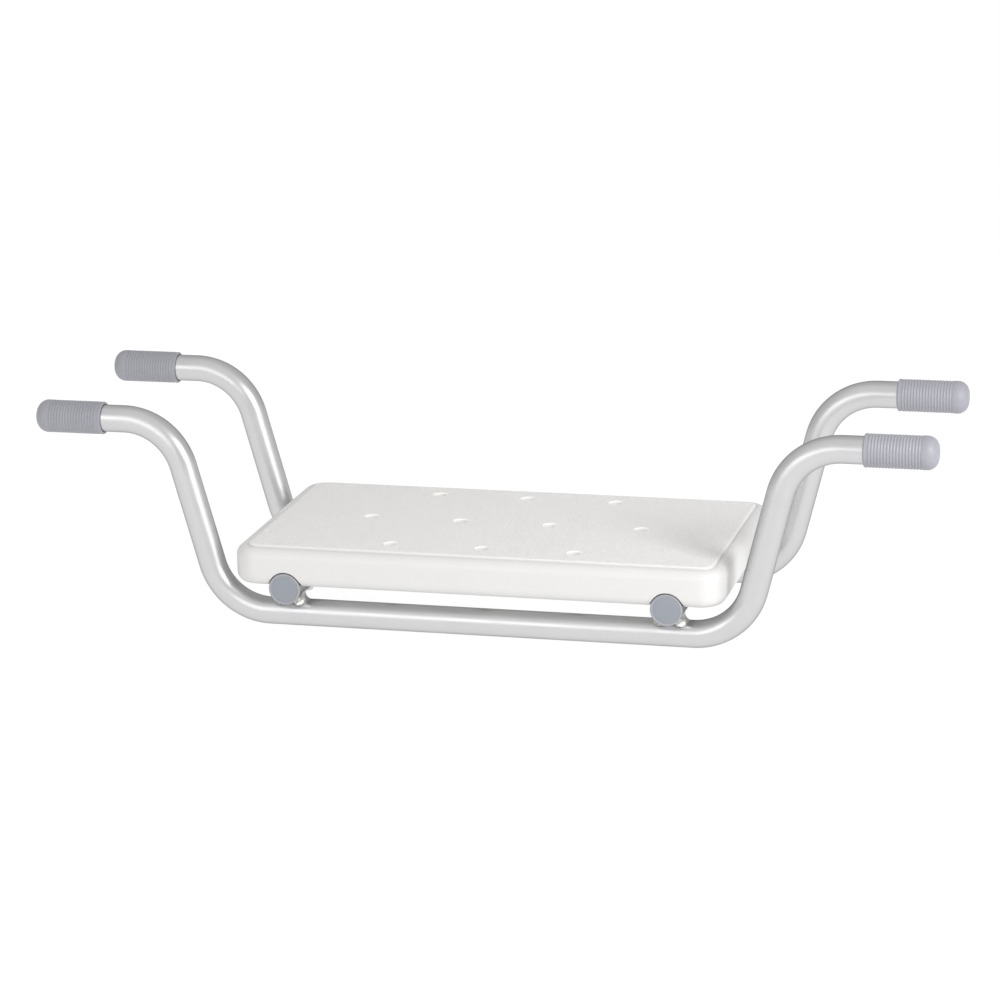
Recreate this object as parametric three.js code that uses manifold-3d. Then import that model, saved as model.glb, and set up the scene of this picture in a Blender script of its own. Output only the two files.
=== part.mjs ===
// Bath transfer bench: a moulded seat board screwed to two cross tubes. The cross tubes are welded across
// two bent rails, and the rails' four gripped arms rest on the rims of a bath.
// Millimetres, +Z up, +X from rim to rim, -Y the front. The origin is under the middle of the bench, level
// with the lowest line of the rails.
import * as THREE from 'three';
import { mergeVertices } from 'three/addons/utils/BufferGeometryUtils.js';
import Module from 'manifold-3d';

const wasm = await Module();
wasm.setup();

// ---------- Driving dimensions ----------
const FIT_GAP = 0.3; // left between pieces that touch

const OVERALL_LENGTH = 730; // grip tip to grip tip
const RAIL_SPACING = 176; // between the axes of the front and rear rails
const RAIL_OD = 22;
const RAIL_WALL = 2;
const RAIL_RISE = 154.5; // from the bottom run's axis to the arms' axis
const LOWER_CORNER_X = 212.3; // where the bottom run's axis meets the leg's axis
const UPPER_CORNER_X = 252.9; // where the leg's axis meets the arm's axis
const BEND_RADIUS = 50; // on the tube's axis

const CROSS_OD = 25;
const CROSS_WALL = 2;
const CROSS_X = 156; // from the middle to a cross tube's axis

const SEAT_LENGTH = 401;
const SEAT_DEPTH = 213;
const SEAT_BOTTOM_Z = 36.5;
const SEAT_LEDGE_Z = 66.6; // the narrow ledge round the raised panel
const SEAT_PANEL_Z = 67.8; // the surface sat on
const SEAT_CORNER_RADIUS = 20;
const SEAT_EDGE_RADIUS = 8;
const SEAT_WALL = 3;
const PANEL_INSET = 9;
const PANEL_EDGE = 1;

const DRAIN_RADIUS = 5.5;
const DRAIN_PITCH = 75.5; // along a row
const DRAIN_ROW_SPACING = 74;
const DRAIN_ROWS = [3, 4, 3]; // holes in each row, front to back
const BLOW_HOLE_RADIUS = 4; // the moulding's blow-pin hole, in the underside
const BLOW_HOLE_Y = 40;

const GRIP_OD = 26.5;
const GRIP_LENGTH = 57;
const GRIP_END_THICKNESS = 3.5;
const GRIP_END_RADIUS = 9;
const GRIP_MOUTH_RADIUS = 1.5;

const PLUG_OD = 26;
const PLUG_FLANGE = 3.2;
const PLUG_RIM = 2.4; // the rounded rim of the flange
const PLUG_SPIGOT_LENGTH = 14;
const PLUG_WALL = 1.8;
const PLUG_PROUD = 0.5; // how far a plug stands out from the seat board's face

const SCREW_Y = 48; // from the middle to a seat screw
const SCREW_SHANK_RADIUS = 2.75;
const SCREW_LENGTH = 38; // under the head
const SCREW_POINT = 4;
const SCREW_HEAD_RADIUS = 5.5;
const SCREW_HEAD_HEIGHT = 3.4;
const WASHER_RADIUS = 7;
const WASHER_THICKNESS = 1.2;
const BOSS_RADIUS = 9; // solid posts inside the seat board round the screws

const WELD_FILLET = 5; // radius of a weld's hollow face
const WELD_HALF_WIDTH = 6.5;
const WELD_ROOT = 4; // where a weld starts, from the line of contact
const WELD_SKIRT = 2.2; // how far a weld reaches down the round of the rail

const RAIL_SIDES = 16; // every round section has a flat facet below, above and at each side
const CROSS_SIDES = 24;
const GRIP_SIDES = 16;
const SMALL_SIDES = 12;
const BEND_STEPS = 8;

// ---------- Derived places ----------
const RAIL_Z = RAIL_OD / 2;
const RAIL_TOP_Z = RAIL_OD;
const ARM_Z = RAIL_Z + RAIL_RISE;
const ARM_TIP_X = OVERALL_LENGTH / 2 - GRIP_END_THICKNESS - FIT_GAP;
const CROSS_Z = RAIL_TOP_Z + FIT_GAP + CROSS_OD / 2;
const PLUG_FACE_Y = SEAT_DEPTH / 2 + PLUG_PROUD;
const CROSS_HALF_LENGTH = PLUG_FACE_Y - PLUG_FLANGE - FIT_GAP;
const WASHER_TOP_Z = CROSS_Z - CROSS_OD / 2 - FIT_GAP;
const SCREW_HEAD_TOP_Z = WASHER_TOP_Z - WASHER_THICKNESS - FIT_GAP;

const SIDES_X = { left: -1, right: 1 };
const SIDES_Y = { front: -1, rear: 1 };

// ---------- Materials ----------
const MATERIALS = {
  tube: { color: 0xc9cacb, roughness: 0.35, metalness: 1 },
  weld: { color: 0xd8d9da, roughness: 0.4, metalness: 1 },
  grip: { color: 0xa7a7b0, roughness: 0.7, metalness: 0 },
  plug: { color: 0x9ea6b2, roughness: 0.6, metalness: 0 },
  seat: { color: 0xeeeeec, roughness: 0.5, metalness: 0 },
  screw: { color: 0xb9babd, roughness: 0.3, metalness: 1 },
};

const group = new THREE.Group();

function addPiece(name, look, geometry) {
  const mesh = new THREE.Mesh(geometry, new THREE.MeshStandardMaterial(MATERIALS[look]));
  mesh.name = name;
  group.add(mesh);
  return mesh;
}

// ---------- Solids and booleans ----------
function solidOf(geometry) {
  const bare = geometry.clone();
  bare.deleteAttribute('normal');
  bare.deleteAttribute('uv');
  const merged = mergeVertices(bare, 1e-5);
  const index = merged.index.array;
  const corners = [];
  for (let i = 0; i < index.length; i += 3) {
    const [a, b, c] = [index[i], index[i + 1], index[i + 2]];
    if (a !== b && b !== c && c !== a) corners.push(a, b, c);
  }
  const vertProperties = new Float32Array(merged.attributes.position.array);
  const triVerts = new Uint32Array(corners);
  return new wasm.Manifold(new wasm.Mesh({ numProp: 3, vertProperties, triVerts }));
}

function geometryOf(solid) {
  const { vertProperties, triVerts } = solid.getMesh();
  const geometry = new THREE.BufferGeometry();
  geometry.setAttribute('position', new THREE.BufferAttribute(vertProperties, 3));
  geometry.setIndex(new THREE.BufferAttribute(triVerts, 1));
  geometry.computeVertexNormals();
  return geometry;
}

// ---------- Sections ----------
// The corners of a regular polygon whose flats lie `radius` from its centre and face the axes.
function roundSection(radius, sides) {
  const corner = radius / Math.cos(Math.PI / sides);
  const points = [];
  for (let i = 0; i < sides; i += 1) {
    const angle = ((i + 0.5) * 2 * Math.PI) / sides;
    points.push(new THREE.Vector2(corner * Math.cos(angle), corner * Math.sin(angle)));
  }
  return points;
}

function tubeSection(od, wall, sides) {
  const section = new THREE.Shape(roundSection(od / 2, sides));
  section.holes.push(new THREE.Path(roundSection(od / 2 - wall, sides)));
  return section;
}

function roundedRectangle(halfX, halfY, radius) {
  const shape = new THREE.Shape();
  shape.absarc(halfX - radius, halfY - radius, radius, 0, Math.PI / 2);
  shape.absarc(radius - halfX, halfY - radius, radius, Math.PI / 2, Math.PI);
  shape.absarc(radius - halfX, radius - halfY, radius, Math.PI, 1.5 * Math.PI);
  shape.absarc(halfX - radius, radius - halfY, radius, 1.5 * Math.PI, 2 * Math.PI);
  shape.closePath();
  return shape;
}

// A round bar or hole: a prism along Z from z = low to z = high.
function bar(radius, low, high, sides) {
  const shape = new THREE.Shape(roundSection(radius, sides));
  const geometry = new THREE.ExtrudeGeometry(shape, { depth: high - low, bevelEnabled: false, steps: 1 });
  return geometry.translate(0, 0, low);
}

// The same, turned to lie along Y and centred on y = 0.
function crossBar(radius, halfLength, sides) {
  return bar(radius, -halfLength, halfLength, sides).rotateX(Math.PI / 2);
}

// A plate with rounded corners and rounded top and bottom edges.
function plate(halfX, halfY, cornerRadius, edge, low, high) {
  const options = {
    depth: high - low - 2 * edge,
    steps: 1,
    curveSegments: 5,
    bevelEnabled: true,
    bevelThickness: edge,
    bevelSize: edge,
    bevelOffset: -edge,
    bevelSegments: 4,
  };
  const geometry = new THREE.ExtrudeGeometry(roundedRectangle(halfX, halfY, cornerRadius), options);
  return geometry.translate(0, 0, low + edge);
}

// ---------- Rails ----------
// A path that an extrusion follows station by station, so that straight runs need no extra steps.
class StationPath extends THREE.Curve {
  constructor(stations) {
    super();
    this.stations = stations;
  }

  stationAt(u) {
    return this.stations[Math.round(u * (this.stations.length - 1))];
  }

  getPointAt(u) {
    return this.stationAt(u).point.clone();
  }

  getTangentAt(u) {
    return this.stationAt(u).tangent.clone();
  }
}

// Stations of a bend in the XZ plane, round the corner between two straight runs.
function bendStations(before, corner, after) {
  const incoming = corner.clone().sub(before).normalize();
  const outgoing = after.clone().sub(corner).normalize();
  const turn = incoming.angleTo(outgoing);
  const setback = BEND_RADIUS * Math.tan(turn / 2);
  const start = corner.clone().addScaledVector(incoming, -setback);
  const axis = incoming.clone().cross(outgoing).normalize();
  const inward = axis.clone().cross(incoming);
  const centre = start.clone().addScaledVector(inward, BEND_RADIUS);
  const stations = [];
  for (let i = 0; i <= BEND_STEPS; i += 1) {
    const angle = (turn * i) / BEND_STEPS;
    const spoke = inward.clone().negate().applyAxisAngle(axis, angle);
    stations.push({
      point: centre.clone().addScaledVector(spoke, BEND_RADIUS),
      tangent: incoming.clone().applyAxisAngle(axis, angle),
    });
  }
  return stations;
}

function railPath() {
  const corners = [
    [-ARM_TIP_X, ARM_Z],
    [-UPPER_CORNER_X, ARM_Z],
    [-LOWER_CORNER_X, RAIL_Z],
    [LOWER_CORNER_X, RAIL_Z],
    [UPPER_CORNER_X, ARM_Z],
    [ARM_TIP_X, ARM_Z],
  ].map(([x, z]) => new THREE.Vector3(x, 0, z));
  const along = new THREE.Vector3(1, 0, 0);
  const stations = [{ point: corners[0], tangent: along }];
  for (let i = 1; i < corners.length - 1; i += 1) {
    stations.push(...bendStations(corners[i - 1], corners[i], corners[i + 1]));
  }
  stations.push({ point: corners[corners.length - 1], tangent: along });
  return new StationPath(stations);
}

function addRails() {
  const section = tubeSection(RAIL_OD, RAIL_WALL, RAIL_SIDES);
  const extrudePath = railPath();
  const steps = extrudePath.stations.length - 1;
  for (const [where, side] of Object.entries(SIDES_Y)) {
    const rail = addPiece(`${where}_rail`, 'tube', new THREE.ExtrudeGeometry(section, { extrudePath, steps }));
    rail.position.y = (side * RAIL_SPACING) / 2;
  }
}

// ---------- Cross tubes, with the holes that the seat screws pass through ----------
function addCrossTubes() {
  const options = { depth: 2 * CROSS_HALF_LENGTH, bevelEnabled: false, steps: 1 };
  const tube = new THREE.ExtrudeGeometry(tubeSection(CROSS_OD, CROSS_WALL, CROSS_SIDES), options);
  tube.translate(0, 0, -CROSS_HALF_LENGTH).rotateX(Math.PI / 2);
  let solid = solidOf(tube);
  for (const side of Object.values(SIDES_Y)) {
    const hole = bar(SCREW_SHANK_RADIUS + FIT_GAP, -CROSS_OD, CROSS_OD, SMALL_SIDES);
    solid = solid.subtract(solidOf(hole.translate(0, side * SCREW_Y, 0)));
  }
  const geometry = geometryOf(solid);
  for (const [where, side] of Object.entries(SIDES_X)) {
    addPiece(`${where}_cross_tube`, 'tube', geometry).position.set(side * CROSS_X, 0, CROSS_Z);
  }
}

// ---------- Welds: a hollow-faced bead on each side of each crossing ----------
// Heights are taken from the rail's top and distances from the cross tube's axis.
function weldGeometry() {
  const tubeRadius = CROSS_OD / 2;
  const tubeHeight = CROSS_Z - RAIL_TOP_Z;
  const reach = Math.sqrt((tubeRadius + WELD_FILLET) ** 2 - (tubeHeight - WELD_FILLET) ** 2);
  const tubeSide = Math.PI - Math.atan2(tubeHeight - WELD_FILLET, reach);
  const section = new THREE.Shape();
  section.moveTo(WELD_ROOT, -WELD_SKIRT);
  section.lineTo(reach, -WELD_SKIRT);
  section.lineTo(reach, 0);
  section.absarc(reach, WELD_FILLET, WELD_FILLET, -Math.PI / 2, tubeSide - 2 * Math.PI, true);
  section.lineTo(WELD_ROOT, tubeHeight);
  section.closePath();
  const options = { depth: 2 * WELD_HALF_WIDTH, bevelEnabled: false, steps: 1, curveSegments: 8 };
  const blank = new THREE.ExtrudeGeometry(section, options);
  blank.translate(0, 0, -WELD_HALF_WIDTH).rotateX(Math.PI / 2);
  const rail = bar(RAIL_OD / 2 + FIT_GAP, -CROSS_OD, CROSS_OD, RAIL_SIDES).rotateY(Math.PI / 2);
  const tube = crossBar(tubeRadius + FIT_GAP, CROSS_OD, CROSS_SIDES);
  const cut = solidOf(blank)
    .subtract(solidOf(rail.translate(0, 0, -RAIL_OD / 2)))
    .subtract(solidOf(tube.translate(0, 0, tubeHeight)));
  return geometryOf(cut);
}

function addWelds() {
  const geometry = weldGeometry();
  for (const [end, sideY] of Object.entries(SIDES_Y)) {
    for (const [where, sideX] of Object.entries(SIDES_X)) {
      for (const [face, turn] of [['right', 0], ['left', Math.PI]]) {
        const weld = addPiece(`${end}_${where}_weld_${face}_side`, 'weld', geometry);
        weld.position.set(sideX * CROSS_X, (sideY * RAIL_SPACING) / 2, RAIL_TOP_Z);
        weld.rotation.z = turn;
      }
    }
  }
}

// ---------- Turned and moulded pieces ----------
// A solid of revolution about Z, from [radius, height] pairs that start and end on the axis or close up.
function turned(profile, sides) {
  const points = profile.map(([radius, height]) => new THREE.Vector2(radius, height));
  const geometry = new THREE.LatheGeometry(points, sides, Math.PI / sides);
  return geometry.rotateX(Math.PI / 2);
}

// Points of a quarter round from angle 0 to 90 degrees about a centre.
function quarterRound(centreRadius, centreHeight, radius, steps) {
  const points = [];
  for (let i = 0; i <= steps; i += 1) {
    const angle = (i * Math.PI) / (2 * steps);
    points.push([centreRadius + radius * Math.cos(angle), centreHeight + radius * Math.sin(angle)]);
  }
  return points;
}

// Hand grips: closed sleeves pushed over the arms. Flats lie at the stated radii.
function addGrips() {
  const toCorner = 1 / Math.cos(Math.PI / GRIP_SIDES);
  const outer = (GRIP_OD / 2) * toCorner;
  const bore = (RAIL_OD / 2 + FIT_GAP) * toCorner;
  const boreEnd = GRIP_LENGTH - GRIP_END_THICKNESS;
  const profile = [
    [0, boreEnd],
    [bore, boreEnd],
    [bore, 0],
    [outer - GRIP_MOUTH_RADIUS, 0],
    [outer, GRIP_MOUTH_RADIUS],
    ...quarterRound(outer - GRIP_END_RADIUS, GRIP_LENGTH - GRIP_END_RADIUS, GRIP_END_RADIUS, 5),
    [0, GRIP_LENGTH],
  ];
  const geometry = turned(profile, GRIP_SIDES).rotateY(Math.PI / 2);
  for (const [end, sideY] of Object.entries(SIDES_Y)) {
    for (const [where, sideX] of Object.entries(SIDES_X)) {
      const grip = addPiece(`${end}_${where}_grip`, 'grip', geometry);
      grip.position.set(sideX * (OVERALL_LENGTH / 2 - GRIP_LENGTH), (sideY * RAIL_SPACING) / 2, ARM_Z);
      grip.rotation.z = sideX < 0 ? Math.PI : 0;
    }
  }
}

// Plugs: a round flange that covers the tube's end, and a hollow spigot inside the tube.
function addPlugs() {
  const flange = PLUG_OD / 2;
  const spigot = CROSS_OD / 2 - CROSS_WALL - FIT_GAP;
  const root = -PLUG_FLANGE;
  const inner = root - PLUG_SPIGOT_LENGTH;
  const profile = [
    [0, root],
    [spigot - PLUG_WALL, root],
    [spigot - PLUG_WALL, inner],
    [spigot, inner],
    [spigot, root],
    [flange, root],
    ...quarterRound(flange - PLUG_RIM, -PLUG_RIM, PLUG_RIM, 4),
    [0, 0],
  ];
  const geometry = turned(profile, CROSS_SIDES).rotateX(-Math.PI / 2);
  for (const [end, sideY] of Object.entries(SIDES_Y)) {
    for (const [where, sideX] of Object.entries(SIDES_X)) {
      const plug = addPiece(`${end}_${where}_tube_plug`, 'plug', geometry);
      plug.position.set(sideX * CROSS_X, sideY * PLUG_FACE_Y, CROSS_Z);
      plug.rotation.z = sideY < 0 ? Math.PI : 0;
    }
  }
}

// Pan-head screws driven up through each cross tube into the seat board, each with a washer.
function addFasteners() {
  const shoulder = SCREW_HEAD_HEIGHT / 3;
  const screw = turned([
    [0, -SCREW_HEAD_HEIGHT],
    [SCREW_HEAD_RADIUS - shoulder, -SCREW_HEAD_HEIGHT],
    [SCREW_HEAD_RADIUS, -shoulder],
    [SCREW_HEAD_RADIUS, 0],
    [SCREW_SHANK_RADIUS, 0],
    [SCREW_SHANK_RADIUS, SCREW_LENGTH - SCREW_POINT],
    [0, SCREW_LENGTH],
  ], SMALL_SIDES);
  const washer = turned([
    [SCREW_SHANK_RADIUS + FIT_GAP, -WASHER_THICKNESS],
    [WASHER_RADIUS, -WASHER_THICKNESS],
    [WASHER_RADIUS, 0],
    [SCREW_SHANK_RADIUS + FIT_GAP, 0],
    [SCREW_SHANK_RADIUS + FIT_GAP, -WASHER_THICKNESS],
  ], RAIL_SIDES);
  for (const [end, sideY] of Object.entries(SIDES_Y)) {
    for (const [where, sideX] of Object.entries(SIDES_X)) {
      const [x, y] = [sideX * CROSS_X, sideY * SCREW_Y];
      addPiece(`${end}_${where}_seat_screw`, 'screw', screw).position.set(x, y, SCREW_HEAD_TOP_Z);
      addPiece(`${end}_${where}_screw_washer`, 'screw', washer).position.set(x, y, WASHER_TOP_Z);
    }
  }
}

// ---------- Seat board: a blow-moulded hollow board ----------
function drainCentres() {
  const centres = [];
  DRAIN_ROWS.forEach((count, row) => {
    for (let i = 0; i < count; i += 1) {
      const x = (i - (count - 1) / 2) * DRAIN_PITCH;
      const y = (row - (DRAIN_ROWS.length - 1) / 2) * DRAIN_ROW_SPACING;
      centres.push([x, y]);
    }
  });
  return centres;
}

// The same round bar at every drain hole.
function drainBars(radius) {
  const through = drainCentres().map(([x, y]) => {
    const hole = bar(radius, SEAT_BOTTOM_Z - SEAT_WALL, SEAT_PANEL_Z + SEAT_WALL, SMALL_SIDES);
    return solidOf(hole.translate(x, y, 0));
  });
  return wasm.Manifold.union(through);
}

// Bars along both cross tubes' axes.
function channelBars(radius, halfLength) {
  const bars = Object.values(SIDES_X).map((side) => {
    const channel = crossBar(radius, halfLength, CROSS_SIDES);
    return solidOf(channel.translate(side * CROSS_X, 0, CROSS_Z));
  });
  return wasm.Manifold.union(bars);
}

// Bars along all four seat screws' axes, up to a height.
function screwBars(radius, high) {
  const bars = [];
  for (const sideX of Object.values(SIDES_X)) {
    for (const sideY of Object.values(SIDES_Y)) {
      const post = bar(radius, CROSS_Z, high, SMALL_SIDES);
      bars.push(solidOf(post.translate(sideX * CROSS_X, sideY * SCREW_Y, 0)));
    }
  }
  return wasm.Manifold.union(bars);
}

// Recesses that the plugs' flanges sit in, where each channel meets a face.
function plugRecesses() {
  const depth = PLUG_FLANGE + FIT_GAP - PLUG_PROUD;
  const outside = channelBars(PLUG_OD / 2 + FIT_GAP, SEAT_DEPTH);
  const inside = channelBars(PLUG_OD, SEAT_DEPTH / 2 - depth);
  return outside.subtract(inside);
}

function seatCavity() {
  const halfX = SEAT_LENGTH / 2 - SEAT_WALL;
  const halfY = SEAT_DEPTH / 2 - SEAT_WALL;
  const corner = SEAT_CORNER_RADIUS - SEAT_WALL;
  const edge = SEAT_EDGE_RADIUS - SEAT_WALL;
  const space = plate(halfX, halfY, corner, edge, SEAT_BOTTOM_Z + SEAT_WALL, SEAT_LEDGE_Z - SEAT_WALL);
  return solidOf(space)
    .subtract(drainBars(DRAIN_RADIUS + SEAT_WALL))
    .subtract(channelBars(PLUG_OD / 2 + FIT_GAP + SEAT_WALL, SEAT_DEPTH))
    .subtract(screwBars(BOSS_RADIUS, SEAT_PANEL_Z));
}

function addSeat() {
  const halfX = SEAT_LENGTH / 2;
  const halfY = SEAT_DEPTH / 2;
  const body = plate(halfX, halfY, SEAT_CORNER_RADIUS, SEAT_EDGE_RADIUS, SEAT_BOTTOM_Z, SEAT_LEDGE_Z);
  const panel = plate(
    halfX - PANEL_INSET,
    halfY - PANEL_INSET,
    SEAT_CORNER_RADIUS - PANEL_INSET,
    PANEL_EDGE,
    SEAT_LEDGE_Z - SEAT_WALL / 2,
    SEAT_PANEL_Z,
  );
  const pilotTop = SCREW_HEAD_TOP_Z + SCREW_LENGTH + FIT_GAP;
  const blowHole = bar(BLOW_HOLE_RADIUS, SEAT_BOTTOM_Z - SEAT_WALL, SEAT_BOTTOM_Z + 2 * SEAT_WALL, SMALL_SIDES);
  const board = solidOf(body)
    .add(solidOf(panel))
    .subtract(channelBars(CROSS_OD / 2 + FIT_GAP, SEAT_DEPTH))
    .subtract(plugRecesses())
    .subtract(drainBars(DRAIN_RADIUS))
    .subtract(screwBars(SCREW_SHANK_RADIUS + FIT_GAP, pilotTop))
    .subtract(seatCavity())
    .subtract(solidOf(blowHole.translate(0, BLOW_HOLE_Y, 0)));
  addPiece('seat_board', 'seat', geometryOf(board));
}

addRails();
addCrossTubes();
addWelds();
addGrips();
addPlugs();
addFasteners();
addSeat();

export default group;
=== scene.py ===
"""Looks for the bath transfer bench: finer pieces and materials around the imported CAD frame.

Lengths are in millimetres until a mesh is made, in the row frame: +X from rim to rim, -Y the front, +Z up.
"""

import math

import bpy
import numpy as np
from mathutils import Matrix, Vector
from mathutils.geometry import delaunay_2d_cdt


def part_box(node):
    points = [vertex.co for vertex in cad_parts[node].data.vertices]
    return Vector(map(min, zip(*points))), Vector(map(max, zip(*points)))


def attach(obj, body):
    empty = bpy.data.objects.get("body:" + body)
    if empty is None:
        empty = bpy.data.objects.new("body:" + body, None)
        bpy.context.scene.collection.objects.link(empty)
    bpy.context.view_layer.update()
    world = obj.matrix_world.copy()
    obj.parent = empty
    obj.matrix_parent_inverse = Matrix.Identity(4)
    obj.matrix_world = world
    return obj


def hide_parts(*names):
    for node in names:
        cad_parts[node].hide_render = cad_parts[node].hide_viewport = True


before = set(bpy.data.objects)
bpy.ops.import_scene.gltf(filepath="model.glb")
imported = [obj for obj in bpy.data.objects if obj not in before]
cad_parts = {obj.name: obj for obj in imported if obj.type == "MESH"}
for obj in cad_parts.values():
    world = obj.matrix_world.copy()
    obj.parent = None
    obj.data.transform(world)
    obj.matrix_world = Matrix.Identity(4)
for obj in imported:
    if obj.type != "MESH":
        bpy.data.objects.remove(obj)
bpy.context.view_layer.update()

MM = 0.001
SIDES_X = {"left": -1, "right": 1}
SIDES_Y = {"front": -1, "rear": 1}


# ---------- Places from the frame ----------
def box_mm(node):
    """A CAD node's lowest and highest corner, in millimetres."""
    low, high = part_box(node)
    return low / MM, high / MM


RAIL_LOW, RAIL_HIGH = box_mm("front_rail")
CROSS_LOW, CROSS_HIGH = box_mm("right_cross_tube")
GRIP_LOW, GRIP_HIGH = box_mm("front_right_grip")
PLUG_LOW, PLUG_HIGH = box_mm("front_right_tube_plug")
SEAT_LOW, SEAT_HIGH = box_mm("seat_board")
SCREW_LOW, SCREW_HIGH = box_mm("front_right_seat_screw")
WASHER_LOW, WASHER_HIGH = box_mm("front_right_screw_washer")

# ---------- Driving dimensions ----------
RAIL_RADIUS = (RAIL_HIGH.y - RAIL_LOW.y) / 2
RAIL_WALL = 2
RAIL_Y = -(RAIL_LOW.y + RAIL_HIGH.y) / 2
RAIL_Z = RAIL_LOW.z + RAIL_RADIUS
ARM_Z = RAIL_HIGH.z - RAIL_RADIUS
ARM_TIP_X = RAIL_HIGH.x
LOWER_CORNER_X = 212.3  # where the bottom run's axis meets the leg's axis
UPPER_CORNER_X = 252.9  # where the leg's axis meets the arm's axis
BEND_RADIUS = 50  # on the tube's axis

CROSS_RADIUS = (CROSS_HIGH.x - CROSS_LOW.x) / 2
CROSS_WALL = 2
CROSS_X = (CROSS_LOW.x + CROSS_HIGH.x) / 2
CROSS_Z = (CROSS_LOW.z + CROSS_HIGH.z) / 2
CROSS_HALF_LENGTH = CROSS_HIGH.y
CROSS_HOLE_MARGIN = 6  # from a screw's axis to the ring of vertices on either side of its holes

SEAT_HALF_X = SEAT_HIGH.x
SEAT_HALF_Y = SEAT_HIGH.y
SEAT_BOTTOM_Z = SEAT_LOW.z
SEAT_PANEL_Z = SEAT_HIGH.z
PANEL_RISE = 1.2  # of the raised panel above the ledge round it
PANEL_STIPPLE_AND_PAINTED_LIGHT_DROP = 0.9  # how far down the panel's rounded edge its lighter colour goes, which there is a painted highlight
SEAT_LEDGE_Z = SEAT_PANEL_Z - PANEL_RISE
SEAT_CORNER_RADIUS = 20
SEAT_EDGE_RADIUS = 8
NOTCH_RADIUS = 13.6  # of the channels that the cross tubes lie in
LIP_RADIUS = 0.9  # of the rounded edge where a channel meets a face
DRAIN_RADIUS = 5.5
DRAIN_LIP = 1
DRAIN_GLOW_DEPTH = 9  # how far down a drain hole the painted glow shows, which stands in for the light through the plastic
DRAIN_GLOW_STRENGTH = 0.22
DRAIN_PITCH = 75.5
DRAIN_ROW_SPACING = 74
DRAIN_ROWS = (3, 4, 3)
BLOW_HOLE_RADIUS = 4
BLOW_HOLE_Y = 40
BLOW_HOLE_DEPTH = 6
INNER_INSET = 11  # where the board's rounded rim ends, from its outline
# (inset from the outline, height above the ledge) down into the crease beside the panel and up again
CREASE = (
    (8.35, -0.04),
    (8.7, -0.2),
    (9.05, -0.46),
    (9.35, -0.6),
    (9.6, -0.5),
    (9.75, -0.15),
    (9.86, 0.25),
    (10.1, 0.6),
)
# (inset from the outline, depth below the panel's top) over the panel's rounded edge
PANEL_EDGE = ((10.5, 0.32), (11.0, 0.12), (11.5, 0.02), (12.2, 0), (13.5, 0))

GRIP_LENGTH = GRIP_HIGH.x - GRIP_LOW.x
GRIP_RADIUS = (GRIP_HIGH.y - GRIP_LOW.y) / 2
GRIP_MOUTH_X = GRIP_LOW.x
GRIP_BORE_GAP = 0.3
GRIP_MOUTH_ROUND = 1.6
GRIP_BORE_ROUND = 0.6
GRIP_END_THICKNESS = 3.5
GRIP_END_RADIUS = 9
GRIP_COLLAR = 3.6  # plain length at the mouth
GRIP_RIBS = 17
GRIP_RIB_PITCH = 2.4
GRIP_GROOVE_DEPTH = 0.55

PLUG_RADIUS = (PLUG_HIGH.x - PLUG_LOW.x) / 2
PLUG_FACE_Y = -PLUG_LOW.y
PLUG_FLANGE = 3.2
PLUG_FLAT_RADIUS = 10.3
PLUG_RIM_RADIUS = 11.9  # of the line along the top of the raised rim
PLUG_RIM_ROUND = 1.1  # the rim's rounding, half its width
PLUG_FLAT_DROP = 0.18  # of the flat face below the rim
PLUG_SPIGOT_RADIUS = 10.2
PLUG_SPIGOT_WALL = 1.8
PLUG_SPIGOT_LENGTH = 14

SCREW_Y = -(SCREW_LOW.y + SCREW_HIGH.y) / 2
SCREW_HEAD_RADIUS = (SCREW_HIGH.x - SCREW_LOW.x) / 2
SCREW_HEAD_HEIGHT = 3.4
SCREW_SHANK_RADIUS = 2.75
SCREW_HOLE_RADIUS = 3.05
SCREW_POINT = 4
SCREW_CROWN = 0.9  # height of the head's rim, where its dome starts
SCREW_DOME_WIDTH = 2
RECESS_ARM = (2.7, 0.55)  # half length and half width of the cross-shaped recess
WASHER_RADIUS = (WASHER_HIGH.x - WASHER_LOW.x) / 2

PAINTED_SHADE_REACH = (16, 36)  # from a rail's axis, where the painted shade round a weld starts to fade and ends
WELD_FILLET = 5  # radius of the ball that shapes a bead's hollow face
WELD_REACH_Y = 10.5  # how far a weld goes round the rail, taken at its ball's centre
WELD_ROOT_X = 4  # of the hidden inner edge, from the cross tube's axis
WELD_HUB_X = 7  # of the point that the sections shrink to at a bead's ends
WELD_BULGE = 0.25  # how far the middle of a bead's face stands into the ball
WELD_SINK = 0.2  # how deep a bead's edges go into the tubes
WELD_RIPPLE = 0.14
WELD_RIPPLE_PITCH = 1.7
WELD_WANDER = 0.08  # slow unevenness added to the ripples
WELD_CAP = 1.5  # length of a bead's rounded end

# Fineness of the meshes
TUBE_SIDES = 48
CROSS_SIDES = 64
TURNED_SIDES = 64
SCREW_SIDES = 48
DRILL_SIDES = 24
DRAIN_SIDES = 40
BEND_STEPS = 24
CORNER_STEPS = 14
WALL_STEPS = 14
NEAR_EDGE = (0.15, 0.45, 0.8, 1.2, 1.8, 2.6)  # distances of the lines beside an edge that gets rounded
MIDDLE_COLUMNS_X = (-100, -50, 0, 50, 100)  # on the front and the rear, between the channels
SIDE_COLUMNS_Y = (-50, -25, 0, 25, 50)
NOTCH_STEPS = 9
SHOULDER_STEPS = 9
SETTLE_ROUNDS = 8  # of moving the board's points onto its rounded shape
WELD_FACE_STEPS = 12
WELD_ROOT_STEPS = 5
WELD_STATIONS = 44
WELD_CAP_STEPS = 6
RIB_STEPS = 8

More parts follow.
